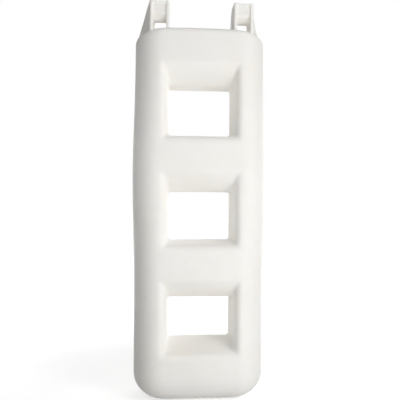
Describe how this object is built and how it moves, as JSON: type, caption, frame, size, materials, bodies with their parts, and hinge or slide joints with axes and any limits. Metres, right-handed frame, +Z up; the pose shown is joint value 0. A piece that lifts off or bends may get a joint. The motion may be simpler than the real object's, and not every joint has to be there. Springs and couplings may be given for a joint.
{
  "type": "ladder fender",
  "caption": "One-piece soft plastic boarding fender with step openings through its flat body and rope eyes on its top edge.",
  "frame": {"origin": "middle of the bottom of the bounding box, under the middle of the flat base", "axes": "+X across the fender, +Y from the front face to the back face, +Z up towards the rope eyes"},
  "size_m": [0.266, 0.12, 0.7683],
  "materials": {
    "white_pvc": "satin off-white soft PVC with a fine moulded grain"
  },
  "bodies": {
    "root": {"fender_body": "white_pvc"}
  },
  "joints": []
}
